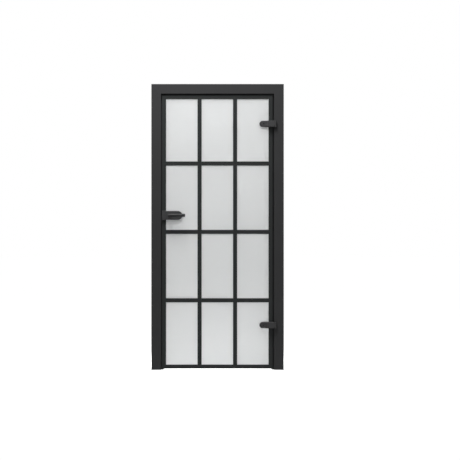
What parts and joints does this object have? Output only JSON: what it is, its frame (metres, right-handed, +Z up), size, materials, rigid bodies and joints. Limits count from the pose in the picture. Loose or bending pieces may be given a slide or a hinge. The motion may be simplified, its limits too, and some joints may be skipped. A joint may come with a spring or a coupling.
{
  "type": "glass door with frame",
  "caption": "Hinged frosted glass door with a grid of black bars, clamp hinges and a lever lock with a sprung latch, hung in a rebated black metal frame that is screwed into a wall opening.",
  "frame": {"origin": "floor level, in the middle of the frame's width, on the mid-plane of the glass", "axes": "+Z up; +X towards the hinges, which are on the right as seen from the front; +Y from the front, the side the leaf opens to, to the back"},
  "size_m": [0.987, 0.155, 2.13],
  "materials": {
    "frame_coat": "satin black powder coat on extruded aluminium",
    "bar_coat": "satin black coat on flat aluminium strip",
    "satin_glass": "toughened glass, frosted to a satin white",
    "hardware_coat": "satin black coat on cast fittings",
    "black_steel": "black oxide on socket screws",
    "steel": "bright steel",
    "mill_aluminium": "plain mill finish",
    "seal_rubber": "matt black rubber",
    "black_plastic": "matt black nylon"
  },
  "bodies": {
    "frame": {"left_jamb": "frame_coat", "right_jamb": "frame_coat", "head_rail": "frame_coat", "corner_cleats": "mill_aluminium", "cleat_screws": "steel", "left_seal": "seal_rubber", "right_seal": "seal_rubber", "head_seal": "seal_rubber", "left_foot_cap": "black_plastic", "right_foot_cap": "black_plastic", "strike_plate": "steel", "strike_screws": "steel", "hinge_knuckles": "hardware_coat", "upper_hinge_pin": "steel", "lower_hinge_pin": "steel", "hinge_washers": "black_plastic", "upper_hinge_anchor": "steel", "lower_hinge_anchor": "steel"},
    "leaf": {"glass_pane": "satin_glass", "front_lock_border": "bar_coat", "front_hinge_border": "bar_coat", "front_end_borders": "bar_coat", "front_upright_bars": "bar_coat", "front_cross_bars": "bar_coat", "rear_lock_border": "bar_coat", "rear_hinge_border": "bar_coat", "rear_end_borders": "bar_coat", "rear_upright_bars": "bar_coat", "rear_cross_bars": "bar_coat", "upper_hinge_clamp": "hardware_coat", "lower_hinge_clamp": "hardware_coat", "upper_hinge_back_plate": "hardware_coat", "lower_hinge_back_plate": "hardware_coat", "hinge_pads": "seal_rubber", "hinge_screws": "black_steel", "hinge_sleeves": "black_plastic", "lock_front_plate": "hardware_coat", "lock_case": "hardware_coat", "lock_base": "steel", "lock_pads": "seal_rubber", "lock_bolts": "black_steel", "lock_sleeves": "black_plastic", "lever_bushes": "black_plastic", "latch_spring": "steel"},
    "lever": {"front_lever": "hardware_coat", "rear_lever": "hardware_coat", "spindle": "steel", "follower": "steel", "lever_grub_screws": "black_steel"},
    "latch": {"latch_bolt": "steel"}
  },
  "joints": [
    {"name": "door_swing", "type": "hinge", "parent": "frame", "child": "leaf", "pos_m": [0.4315, -0.0245, 1.083], "axis": [0, 0, 1], "range_deg": [0, 170]},
    {"name": "lever_turn", "type": "hinge", "parent": "leaf", "child": "lever", "pos_m": [-0.3545, 0, 1.151], "axis": [0, 1, 0], "range_deg": [0, 40], "stiffness_Nm_per_rad": 1.2, "springref_deg": -34.38},
    {"name": "latch_slide", "type": "slide", "parent": "leaf", "child": "latch", "axis": [1, 0, 0], "range_m": [0, 0.0129], "deforming": ["latch_spring"]}
  ],
  "couplings": [
    {"joint": "latch_slide", "follows": "lever_turn", "m_per_rad": 0.018415}
  ]
}
